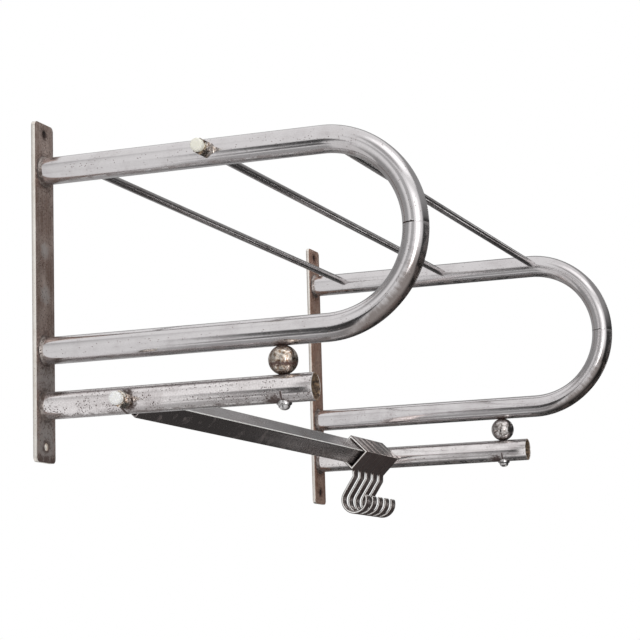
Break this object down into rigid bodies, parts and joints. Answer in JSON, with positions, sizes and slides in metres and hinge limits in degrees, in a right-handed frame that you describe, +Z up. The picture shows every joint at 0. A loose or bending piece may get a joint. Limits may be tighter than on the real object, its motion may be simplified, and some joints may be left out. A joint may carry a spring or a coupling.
{
  "type": "wall coat rack",
  "caption": "Wall coat rack of bent chromed tube: two looped side frames on wall strips, hat rods across the top and a square bar on edge with sliding hooks below.",
  "frame": {"origin": "middle of the four wall screw holes, on the face of the wall", "axes": "+X along the wall to the right as seen from the room, -Y out of the wall into the room, +Z up"},
  "size_m": [0.771, 0.3715, 0.3335],
  "materials": {
    "tube_chrome": "aged chrome plate, finely pitted, with rust in the pits",
    "strip_steel": "dull plated strip gone grey-brown",
    "rod_chrome": "darkened chrome plate",
    "bar_chrome": "darkened chrome plate, lightly pitted",
    "hook_chrome": "darkened chrome plate with bright worn edges",
    "ball_brass": "polished, with its plating tarnished gold-brown",
    "ball_chrome": "polished chrome plate, lightly tarnished",
    "collar_chrome": "bright chrome plate, rusted round the seat",
    "screw_chrome": "worn chrome plate",
    "cap_plastic": "smooth cream-white plastic",
    "hidden_steel": "plain steel, out of sight"
  },
  "bodies": {
    "rack": {"left_wall_strip": "strip_steel", "right_wall_strip": "strip_steel", "left_loop_upper": "tube_chrome", "right_loop_upper": "tube_chrome", "left_loop_lower": "tube_chrome", "right_loop_lower": "tube_chrome", "left_seam_plug": "hidden_steel", "right_seam_plug": "hidden_steel", "left_lower_arm": "tube_chrome", "right_lower_arm": "tube_chrome", "left_ball_spacer": "ball_brass", "right_ball_spacer": "ball_chrome", "left_ball_screw": "screw_chrome", "right_ball_screw": "screw_chrome", "left_ball_nut": "hidden_steel", "right_ball_nut": "hidden_steel", "left_bar_plug": "hidden_steel", "right_bar_plug": "hidden_steel", "left_rod_screw": "screw_chrome", "right_rod_screw": "screw_chrome", "left_bar_screw": "screw_chrome", "right_bar_screw": "screw_chrome", "left_rod_collar": "collar_chrome", "right_rod_collar": "collar_chrome", "left_bar_collar": "collar_chrome", "right_bar_collar": "collar_chrome", "left_rod_cap": "cap_plastic", "right_rod_cap": "cap_plastic", "left_bar_cap": "cap_plastic", "right_bar_cap": "cap_plastic", "hat_rod_back": "rod_chrome", "hat_rod_middle": "rod_chrome", "hat_rod_front": "rod_chrome", "crossbar": "bar_chrome"},
    "hook_1_body": {"hook_1": "hook_chrome"},
    "hook_2_body": {"hook_2": "hook_chrome"},
    "hook_3_body": {"hook_3": "hook_chrome"},
    "hook_4_body": {"hook_4": "hook_chrome"},
    "hook_5_body": {"hook_5": "hook_chrome"}
  },
  "joints": [
    {"name": "hook_5_slide", "type": "slide", "parent": "rack", "child": "hook_5_body", "axis": [-1, 0, 0], "range_m": [0, 0.112]},
    {"name": "hook_4_slide", "type": "slide", "parent": "hook_5_body", "child": "hook_4_body", "axis": [-1, 0, 0], "range_m": [0, 0.112]},
    {"name": "hook_3_slide", "type": "slide", "parent": "hook_4_body", "child": "hook_3_body", "axis": [-1, 0, 0], "range_m": [0, 0.112]},
    {"name": "hook_2_slide", "type": "slide", "parent": "hook_3_body", "child": "hook_2_body", "axis": [-1, 0, 0], "range_m": [0, 0.112]},
    {"name": "hook_1_slide", "type": "slide", "parent": "hook_2_body", "child": "hook_1_body", "axis": [-1, 0, 0], "range_m": [0, 0.112]}
  ]
}
